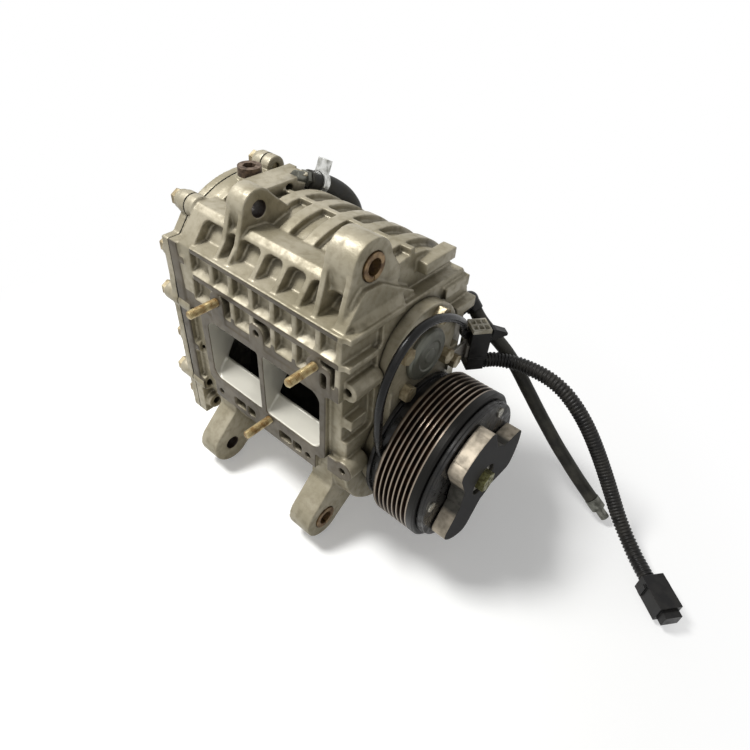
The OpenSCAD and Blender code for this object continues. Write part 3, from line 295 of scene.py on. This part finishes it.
breather_points = MM * np.array([
    (-47, 90, 99), (-47, 99, 95), (-47, 108, 90.5), (-47, 117, 85), (-47, 125, 79),
    (-47, 132, 72), (-47.5, 138, 64), (-49, 142.5, 55), (-52, 145, 44), (-56, 146, 32),
    (-60, 146, 19), (-63, 146, 5), (-64, 146, -9), (-64, 146, -23), (-63, 147, -38),
    (-60, 149, -54), (-54, 153, -70), (-45, 158, -84), (-32, 163, -93), (-16, 167, -95.5),
    (0, 170, -95.5)])
breather, breather_line, breather_length = hose("breather_tube", breather_points, BREATHER_R)
breather.data.materials.append(hose_grey)
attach(breather, "housing")
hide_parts("breather_hose")


# ---- Castings -------------------------------------------------------------
# The housing, the gear cover and the front cover are sand-cast in aluminium, so their edges
# and inner corners are rounded; the joint faces and bores are then milled and turned flat.

DRIVE_AXIS, DRIVEN_AXIS = MM * np.array([(64, -36.5), (64, 36.5)])      # y and z of the rotor axes
BARREL_R = 55.05 * MM
BARREL_ENDS = (-71 * MM, 60 * MM)
PORT_HALF_W, PORT_HALF_H, DUCT_DEPTH = 54.5 * MM, 26 * MM, 32 * MM
FACE_SKIN = 0.7 * MM         # how far from y = 0 still counts as the flange face
FLANGE_FOOT = -50 * MM       # the lower lugs start below it
LUG_BORES = MM * np.array([(30.1, 104.1), (-2.7, -86.7)])               # y and z of their axes
LUG_BORE_R = 5.5 * MM


def cast_rounding(name, node, voxel, passes, triangles):
    """Copy of a CAD casting whose edges and corners are eased: its skin is rebuilt on a fine
    grid, each point then moves towards the mean of its neighbours, and flat areas are thinned."""
    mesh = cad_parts[node].data.copy()
    obj = bpy.data.objects.new(name, mesh)
    scene.collection.objects.link(obj)
    obj.matrix_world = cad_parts[node].matrix_world
    weld = obj.modifiers.new("weld", "WELD")
    weld.merge_threshold = 0.01 * MM
    grid = obj.modifiers.new("grid", "REMESH")
    grid.mode, grid.voxel_size = "VOXEL", voxel
    ease = obj.modifiers.new("ease", "SMOOTH")
    ease.factor, ease.iterations = 0.5, passes
    count = len(obj.evaluated_get(bpy.context.evaluated_depsgraph_get()).data.polygons) * 2
    thin = obj.modifiers.new("thin", "DECIMATE")
    thin.ratio = min(1.0, triangles / count)
    done = bpy.data.meshes.new_from_object(obj.evaluated_get(bpy.context.evaluated_depsgraph_get()))
    obj.modifiers.clear()
    obj.data = done
    obj.data.name = name
    done.materials.clear()
    done.polygons.foreach_set("use_smooth", [True] * len(done.polygons))
    return obj


def bore_out(mesh, radius, centres, ends):
    """Turns the barrels out again after the rounding: a point P up to 1.5 mm inside the radius R
    of the nearer axis C moves to C + (P - C) R / |P - C|, across X."""
    reach = 1.5 * MM
    p = np.empty(len(mesh.vertices) * 3)
    mesh.vertices.foreach_get("co", p)
    p = p.reshape(-1, 3)
    axis = centres[(p[:, 2] > 0).astype(int)]
    away = p[:, 1:] - axis
    r = np.linalg.norm(away, axis=1)
    inside = (r < radius) & (r > radius - reach) & (p[:, 0] > ends[0]) & (p[:, 0] < ends[1])
    p[inside, 1:] = axis[inside] + away[inside] * (radius / r[inside])[:, None]
    mesh.vertices.foreach_set("co", p.ravel())
    mesh.update()


def off_axis(mat, spot, y, z):
    """Distance of each point from the line along X through y and z."""
    flat = add(mat, "Mapping", {"Vector": spot, "Location": (0, -y, -z), "Scale": (0, 1, 1)})
    return add(mat, "VectorMath", {0: flat}, operation="LENGTH").outputs["Value"]


def sand_cast(name, machined):
    """Sand-cast aluminium left to weather: stains 30 mm and 5 mm across, a grit of 0.9 mm grains,
    drawn coarser than the 0.3 mm of real sand, grime and painted shade in the corners, and edges
    made pale as rubbed wear and painted highlight. Where machined, the flange face is darkened as
    gasket stain and painted shade, the openings are painted pale as painted light, and the casting
    inside the lug bores is painted dark as painted shade."""
    mat = blank(name)
    spot = add(mat, "TexCoord").outputs["Object"]
    wide = add(mat, "TexNoise", {"Vector": spot, "Scale": 1 / (30 * MM), "Detail": 3})
    wide = add(mat, "MapRange", {"Value": wide, "From Min": 0.4, "From Max": 0.64})
    fine = add(mat, "TexNoise", {"Vector": spot, "Scale": 1 / (5 * MM), "Detail": 6})
    fine = add(mat, "MapRange", {"Value": fine, "From Min": 0.45, "From Max": 0.8, "To Max": 0.5})
    color = add(mat, "Mix", {"Factor": wide, "A": hexcol("#a69e89"), "B": hexcol("#8c846d")},
                data_type="RGBA")
    color = add(mat, "Mix", {"Factor": fine, "A": color, "B": hexcol("#5f553d")}, data_type="RGBA")
    # Grime and painted shade: corners and recesses are darkened towards #2b2618.
    deep = add(mat, "AmbientOcclusion", {"Distance": 8 * MM}, samples=6).outputs["AO"]
    deep = add(mat, "MapRange", {"Value": deep, "From Min": 0.35, "From Max": 0.8, "To Min": 0.92,
                                 "To Max": 0})
    color = add(mat, "Mix", {"Factor": deep, "A": color, "B": hexcol("#2b2618")}, data_type="RGBA")
    # Rubbed wear and painted highlight: convex edges are made pale towards #d8d0ba.
    proud = add(mat, "AmbientOcclusion", {"Distance": 1.6 * MM}, samples=6, inside=True,
                only_local=True).outputs["AO"]
    rub = add(mat, "TexNoise", {"Vector": spot, "Scale": 1 / (7 * MM), "Detail": 3})
    rub = add(mat, "Math", {0: rub, 1: 0.5}, operation="MULTIPLY")
    proud = add(mat, "Math", {0: proud, 1: rub}, operation="ADD")
    proud = add(mat, "MapRange", {"Value": proud, "From Min": 0.5, "From Max": 0.8, "To Min": 0.75,
                                  "To Max": 0})
    color = add(mat, "Mix", {"Factor": proud, "A": color, "B": hexcol("#d8d0ba")}, data_type="RGBA")
    dull = add(mat, "MapRange", {"Value": fine, "From Max": 0.5, "To Min": 0.42, "To Max": 0.7})
    grit = add(mat, "TexNoise", {"Vector": spot, "Scale": 1 / (0.9 * MM), "Detail": 2})
    lumps = add(mat, "TexNoise", {"Vector": spot, "Scale": 1 / (3 * MM), "Detail": 2})
    height = add(mat, "Math", {0: grit, 1: lumps}, operation="ADD")
    if machined:
        x, y, z = add(mat, "SeparateXYZ", {0: spot}).outputs
        face = add(mat, "Math", {0: y, 1: 0.0, 2: FACE_SKIN}, operation="COMPARE")
        above = add(mat, "Math", {0: z, 1: FLANGE_FOOT}, operation="GREATER_THAN")
        face = add(mat, "Math", {0: face, 1: above}, operation="MULTIPLY")
        up = add(mat, "Math", {0: z}, operation="ABSOLUTE")
        up = add(mat, "Math", {0: up, 1: PORT_HALF_H}, operation="LESS_THAN")
        along = add(mat, "Math", {0: x}, operation="ABSOLUTE")
        along = add(mat, "Math", {0: along, 1: PORT_HALF_W}, operation="LESS_THAN")
        into = add(mat, "Math", {0: y, 1: DUCT_DEPTH}, operation="LESS_THAN")
        duct = add(mat, "Math", {0: up, 1: along}, operation="MULTIPLY")
        duct = add(mat, "Math", {0: duct, 1: into}, operation="MULTIPLY")
        # Painted light: the duct behind the port is painted pale, like its lit floor and highlight.
        color = add(mat, "Mix", {"Factor": duct, "A": color, "B": hexcol("#bdbaae")},
                    data_type="RGBA")
        # Gasket stain and painted shade: the flange face and the rib fronts at y = 0 are darkened.
        stain = add(mat, "Mix", {"Factor": wide, "A": hexcol("#5f5748"), "B": hexcol("#463f32")},
                    data_type="RGBA")
        color = add(mat, "Mix", {"Factor": face, "A": color, "B": stain}, data_type="RGBA")
        # Painted shade: the casting inside the lug bores is painted dark brown.
        for bore in LUG_BORES:
            hole = add(mat, "Math", {0: off_axis(mat, spot, *bore), 1: LUG_BORE_R},
                       operation="LESS_THAN")
            color = add(mat, "Mix", {"Factor": hole, "A": color, "B": hexcol("#2a2017")},
                        data_type="RGBA")
        flat = add(mat, "Math", {0: duct, 1: face}, operation="ADD", use_clamp=True)
        rough = add(mat, "Math", {0: 1.0, 1: flat}, operation="SUBTRACT")
        height = add(mat, "Math", {0: height, 1: rough}, operation="MULTIPLY")
    bump = add(mat, "Bump", {"Height": height, "Distance": 0.2 * MM, "Strength": 0.5})
    shader = add(mat, "BsdfPrincipled", {"Base Color": color, "Roughness": dull, "Metallic": 0.3,
                                         "Normal": bump})
    add(mat, "OutputMaterial", {"Surface": shader})
    return mat


def dress(nodes, mat):
    """Gives CAD nodes their finish."""
    for name in nodes:
        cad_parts[name].data.materials.clear()
        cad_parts[name].data.materials.append(mat)


# Aluminium that weathered for years: matt, blotched and grimy, with painted shade in its corners,
# so the eye reads a used casting.
housing_skin = sand_cast("aged_sand_cast_aluminium", True)
# The covers weathered like the housing, without its flange face darkened by gasket stain and
# painted shade, and without the painted light in its ducts.
cover_skin = sand_cast("weathered_cover_casting", False)

for node, name, skin, voxel, passes, triangles in (
        ("rotor_housing", "housing_casting", housing_skin, 0.7 * MM, 3, 195000),
        ("rear_cover", "gear_cover_casting", cover_skin, 0.8 * MM, 3, 90000),
        ("front_cover", "front_cover_casting", cover_skin, 0.7 * MM, 2, 60000)):
    casting = cast_rounding(name, node, voxel, passes, triangles)
    if node == "rotor_housing":
        bore_out(casting.data, BARREL_R, np.array([DRIVE_AXIS, DRIVEN_AXIS]), BARREL_ENDS)
    casting.data.materials.append(skin)
    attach(casting, "housing")
    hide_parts(node)


# ---- Turned and pressed metal ---------------------------------------------
# Bolts, plugs, bushes, shafts and rings are turned or forged from bar and keep their CAD
# shape; their sharp edges get the small chamfer that such parts have.

def metal(name, clean, worn, rough, size, edge=0.4, depth=0.04, metallic=0.85):
    """Bare or plated metal: a clean and a worn tone in patches of a size in metres, duller where
    worn, with a fine dulled skin; edge in mm is its corners' chamfer, depth in mm its roughness."""
    mat = blank(name)
    spot = add(mat, "TexCoord").outputs["Object"]
    patch = add(mat, "TexNoise", {"Vector": spot, "Scale": 1 / size, "Detail": 4})
    patch = add(mat, "MapRange", {"Value": patch, "From Min": 0.4, "From Max": 0.62})
    color = add(mat, "Mix", {"Factor": patch, "A": hexcol(clean), "B": hexcol(worn)},
                data_type="RGBA")
    dull = add(mat, "MapRange", {"Value": patch, "To Min": max(rough - 0.12, 0.1),
                                 "To Max": rough + 0.18})
    skin = add(mat, "TexNoise", {"Vector": spot, "Scale": 5 / size, "Detail": 2})
    corner = add(mat, "Bevel", {"Radius": edge * MM}, samples=4)
    bump = add(mat, "Bump", {"Height": skin, "Distance": depth * MM, "Strength": 0.5,
                             "Normal": corner})
    shader = add(mat, "BsdfPrincipled",
                 {"Base Color": color, "Roughness": dull, "Metallic": metallic, "Normal": bump})
    add(mat, "OutputMaterial", {"Surface": shader})
    return mat


# Worn zinc plating: pale straw going brown, with a dull sheen.
plated = metal("yellow_zinc_plate_worn", "#aca083", "#7d7056", 0.5, 6 * MM, metallic=0.6)
dress(["cover_bolts", "front_cover_bolts", "bracket_bolt", "coil_screws", "drain_plug"], plated)
# Satin cap: an even grey-green with a soft sheen.
cap_grey = metal("satin_grey_green_cap", "#63645a", "#55554c", 0.42, 20 * MM, edge=0.8, depth=0.02,
                 metallic=0.5)
dress(["bearing_cap"], cap_grey)
# Rolled bronze: warm brown rings with a dull gleam in the pale lugs.
bronze = metal("rolled_bronze_bush", "#8d734f", "#5a4530", 0.4, 5 * MM, metallic=0.6)
dress(["lug_bushes"], bronze)
# Browned steel: matt brown, which sets the plug off from the pale casting.
brown = metal("browned_steel_plug", "#6e5c4c", "#43372c", 0.6, 4 * MM, metallic=0.4)
dress(["oil_filler_plug"], brown)
# Spring steel: the palest and brightest of the metals.
bright = metal("bright_spring_steel", "#d6d6d2", "#9a9a94", 0.3, 4 * MM)
dress(["hose_clamp", "bearing_snap_ring"], bright)
# Ground steel: light grey and smooth, with clear highlights.
ground = metal("ground_bearing_steel", "#b9b9b6", "#8f8f8a", 0.3, 6 * MM)
dress(["rear_bearings", "front_bearings", "pulley_bearing", "drive_shaft", "driven_shaft"], ground)
# Machined aluminium: pale grey with a satin gleam.
turned = metal("machined_aluminium", "#b6b3a9", "#85817a", 0.4, 10 * MM)
dress(["rear_bearing_plate", "connector_bracket"], turned)
# Rotors painted nearly black and satin as painted shade, so that the ports look deep and dark.
rotor_shade_black = metal("black_rotor_painted_shade", "#2b2a28", "#3d3a35", 0.5, 8 * MM, metallic=0.3)
dress(["drive_rotor", "driven_rotor"], rotor_shade_black)
# Dull alloy: mid grey that shines little.
grey_fitting = metal("dull_alloy_fitting", "#77776f", "#55554e", 0.55, 5 * MM)
dress(["side_hose_end", "breather_end", "breather_nipple"], grey_fitting)
# Oiled steel: dark grey with an oily gleam.
gear_steel = metal("oiled_gear_steel", "#6a6a6c", "#3c3c3e", 0.35, 5 * MM)
dress(["drive_gear", "driven_gear", "drive_gear_nut", "driven_gear_nut"], gear_steel)


# ---- Port studs -----------------------------------------------------------
# Three M6 studs stand in the delivery flange, thread-rolled from steel with a yellow plating
# that has worn to brown.

STUDS_AT = MM * np.array([(-39.3, 45.5), (49.1, 45.5), (4.9, -30)])     # x and z of each
STUD_R, STUD_PITCH = 2.98 * MM, 1.0 * MM
THREAD_DEPTH = 0.61          # of the pitch
STUD_CHAMFER = 0.9 * MM


def thread(name, x, z, y0, y1, radius, pitch):
    """Stud along Y: P(t, a) = axis(t) + r(t, a) (cos a, sin a), where r drops by the thread's
    depth h |saw(t / pitch - a / tau)| and runs out in a chamfer at the free end."""
    t = np.linspace(y0, y1, int(abs(y1 - y0) / pitch * 10))
    a = np.linspace(0, tau, 32, endpoint=False)
    t, a = np.meshgrid(t, a, indexing="ij")
    saw = np.abs((t / pitch - a / tau) % 1 - 0.5) * 2
    r = radius - THREAD_DEPTH * pitch * np.clip(saw * 1.15 - 0.05, 0, 1)
    r = np.minimum(r, radius - STUD_CHAMFER + np.abs(t - y0))
    return surface(name, np.stack([x + r * np.sin(a), t, z + r * np.cos(a)], -1))


# Worn plating: straw yellow going brown, so that the studs stand out from the flange.
worn_yellow = metal("worn_yellow_plated_studs", "#b5a67c", "#7d6238", 0.45, 6 * MM, 0.2, 0.03, 0.6)
low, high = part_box("port_studs")
for k, (x, z) in enumerate(STUDS_AT):
    stud = thread(f"port_stud_{k + 1}", x, z, low[1], high[1], STUD_R, STUD_PITCH)
    stud.data.materials.append(worn_yellow)
    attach(stud, "housing")
    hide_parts("port_studs")


# ---- Pulley and clutch ----------------------------------------------------
# The pulley is turned from steel, the crests of its belt grooves painted pale as belt polish and
# painted highlight, and stained brown between; the coil body, plate and three-lobed hub are
# phosphated and painted black.

PALE_CREST_START, PALE_CREST_FULL = 54.0 * MM, 54.65 * MM       # radii between which the crests turn pale, as belt polish and painted highlight
GROOVES_END = 118.6 * MM                                # x where the plain rim begins
ARM_INNER, ARM_OUTER = 30 * MM, 33 * MM                 # radii between which the arms get paler
# Belt-worn steel: thin pale lines on the crests, partly belt polish and partly painted highlight,
# over brown-black grooves.
pulley_steel = blank("belt_polish_and_highlight_steel")
spot = add(pulley_steel, "TexCoord").outputs["Object"]
radius = off_axis(pulley_steel, spot, *DRIVE_AXIS)
crest = add(pulley_steel, "MapRange", {"Value": radius, "From Min": PALE_CREST_START,
                                       "From Max": PALE_CREST_FULL})
along = add(pulley_steel, "SeparateXYZ", {0: spot}).outputs["X"]
grooved = add(pulley_steel, "Math", {0: along, 1: GROOVES_END}, operation="LESS_THAN")
crest = add(pulley_steel, "Math", {0: crest, 1: grooved}, operation="MULTIPLY")
stain = add(pulley_steel, "TexNoise", {"Vector": spot, "Scale": 1 / (6 * MM), "Detail": 3})
stain = add(pulley_steel, "MapRange", {"Value": stain, "From Min": 0.4, "From Max": 0.62})
root = add(pulley_steel, "Mix", {"Factor": stain, "A": hexcol("#1d1610"), "B": hexcol("#3a291b")},
           data_type="RGBA")
root = add(pulley_steel, "Mix", {"Factor": grooved, "A": hexcol("#1a1917"), "B": root},
           data_type="RGBA")
# Belt polish and painted highlight: the crests are mixed towards pale #8f8375.
color = add(pulley_steel, "Mix", {"Factor": crest, "A": root, "B": hexcol("#8f8375")},
            data_type="RGBA")
dull = add(pulley_steel, "MapRange", {"Value": crest, "To Min": 0.42, "To Max": 0.3})
shader = add(pulley_steel, "BsdfPrincipled", {"Base Color": color, "Roughness": dull,
                                              "Metallic": 0.8})
add(pulley_steel, "OutputMaterial", {"Surface": shader})
dress(["pulley"], pulley_steel)

# Phosphated steel: near black with a soft sheen.
black_steel = metal("black_phosphated_steel", "#121110", "#211f1c", 0.38, 7 * MM, 0.8, 0.03, 0.35)
dress(["armature_plate", "clutch_coil"], black_steel)
# The sides of the hub's three arms are painted pale, most at their ends, partly as worn paint and
# partly as painted light, and the front stays black.
hub_paint = blank("satin_black_paint_worn_and_lit")
spot = add(hub_paint, "TexCoord").outputs["Object"]
radius = off_axis(hub_paint, spot, *DRIVE_AXIS)
normal = add(hub_paint, "NewGeometry").outputs["Normal"]
facing = add(hub_paint, "SeparateXYZ", {0: normal}).outputs["X"]
sides = add(hub_paint, "MapRange", {"Value": facing, "From Min": 0.35, "From Max": 0.6, "To Min": 1,
                                    "To Max": 0})
arms = add(hub_paint, "MapRange", {"Value": radius, "From Min": ARM_INNER, "From Max": ARM_OUTER})
scuff = add(hub_paint, "TexNoise", {"Vector": spot, "Scale": 1 / (5 * MM), "Detail": 6})
scuff = add(hub_paint, "MapRange", {"Value": scuff, "From Min": 0.4, "From Max": 0.75, "To Min": 1,
                                    "To Max": 0.45})
# Worn paint and painted light: the arms' sides turn grey at the waist and cream at the ends.
worn = add(hub_paint, "Mix", {"Factor": arms, "A": hexcol("#55534d"), "B": hexcol("#b9ae9c")},
           data_type="RGBA")
bare_and_lit = add(hub_paint, "Math", {0: sides, 1: scuff}, operation="MULTIPLY")
color = add(hub_paint, "Mix", {"Factor": bare_and_lit, "A": hexcol("#0c0b0b"), "B": worn}, data_type="RGBA")
edge = add(hub_paint, "Bevel", {"Radius": 1.2 * MM}, samples=4)
metallic = add(hub_paint, "Math", {0: bare_and_lit, 1: 0.5}, operation="MULTIPLY")
shader = add(hub_paint, "BsdfPrincipled", {"Base Color": color, "Roughness": 0.5,
                                           "Metallic": metallic,
                                           "Specular IOR Level": 0.1, "Normal": edge})
add(hub_paint, "OutputMaterial", {"Surface": shader})
dress(["clutch_hub"], hub_paint)
# Rivet steel: small bright spots on the black plate.
rivet = metal("bright_rivet_steel", "#c9c6bb", "#8b877b", 0.3, 2 * MM)
dress(["armature_rivets", "hub_washer"], rivet)
# Olive chromate: a greenish gold that shines a little.
olive = metal("olive_chromated_steel", "#8f8e62", "#4d4a2c", 0.4, 3 * MM)
dress(["hub_bolt"], olive)
# Moulded rubber: dull black that hardly shines.
rubber = moulded("black_moulded_rubber", "#131312", "#242321", 8 * MM, 0.75, 0.7 * MM, 0.1 * MM)
dress(["shaft_seals", "rubber_dampers"], rubber)
# Compressed fibre: a thin, dark and dull line between the joint faces.
fibre = moulded("compressed_fibre_sheet", "#23221f", "#34322c", 4 * MM, 0.9, 0.5 * MM, 0.1 * MM)
dress(["cover_gasket"], fibre)


# ---- Coil lead and connector ----------------------------------------------
# The coil's wires run in a smooth black sleeve to a moulded nylon connector, whose pale half
# shows its terminal chambers; a machined bracket holds it on the front cover.

LEAD_R = 2.75 * MM
# Vinyl sleeve: deep black and shinier than the hoses.
sleeve_black = moulded("vinyl_sleeve", "#0a0a0a", "#161514", 8 * MM, 0.3, 2 * MM, 0.1 * MM)
lead_points = MM * np.array([
    (86.4, 24, -22), (86.8, 20, -14.5), (87.4, 17, -6), (87.6, 15, 3.5), (87.8, 14, 13.5),
    (88, 13.2, 23.5), (88.4, 13.2, 33.5), (88.9, 14.5, 43), (89.4, 17.4, 52), (89.8, 22, 60.4),
    (90, 28.6, 67), (90, 37, 71), (90, 46.5, 72), (90, 56, 70.6), (90, 65, 67.4), (90, 74, 62.8),
    (89.6, 82, 57.4), (88.6, 90, 51), (86.4, 97.6, 43.8), (83.6, 104, 36), (81.4, 109, 28.6),
    (82, 114, 23.4)])
lead, _, _ = hose("coil_lead_sleeve", lead_points, LEAD_R, 1.5 * MM, 20)
lead.data.materials.append(sleeve_black)
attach(lead, "housing")
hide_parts("coil_lead")

# Moulded nylon: black with a soft sheen.
nylon = moulded("black_moulded_nylon", "#100f0f", "#1f1e1c", 6 * MM, 0.4, 0.6 * MM, 0.05 * MM)
dress(["connector_shell", "connector_clip", "conduit_plug", "side_elbow"], nylon)
# Ivory nylon: the one pale piece of the connector.
pale_nylon = moulded("ivory_moulded_nylon", "#ddd8c8", "#b8b19c", 5 * MM, 0.5, 0.6 * MM, 0.05 * MM)
dress(["connector_insert"], pale_nylon)
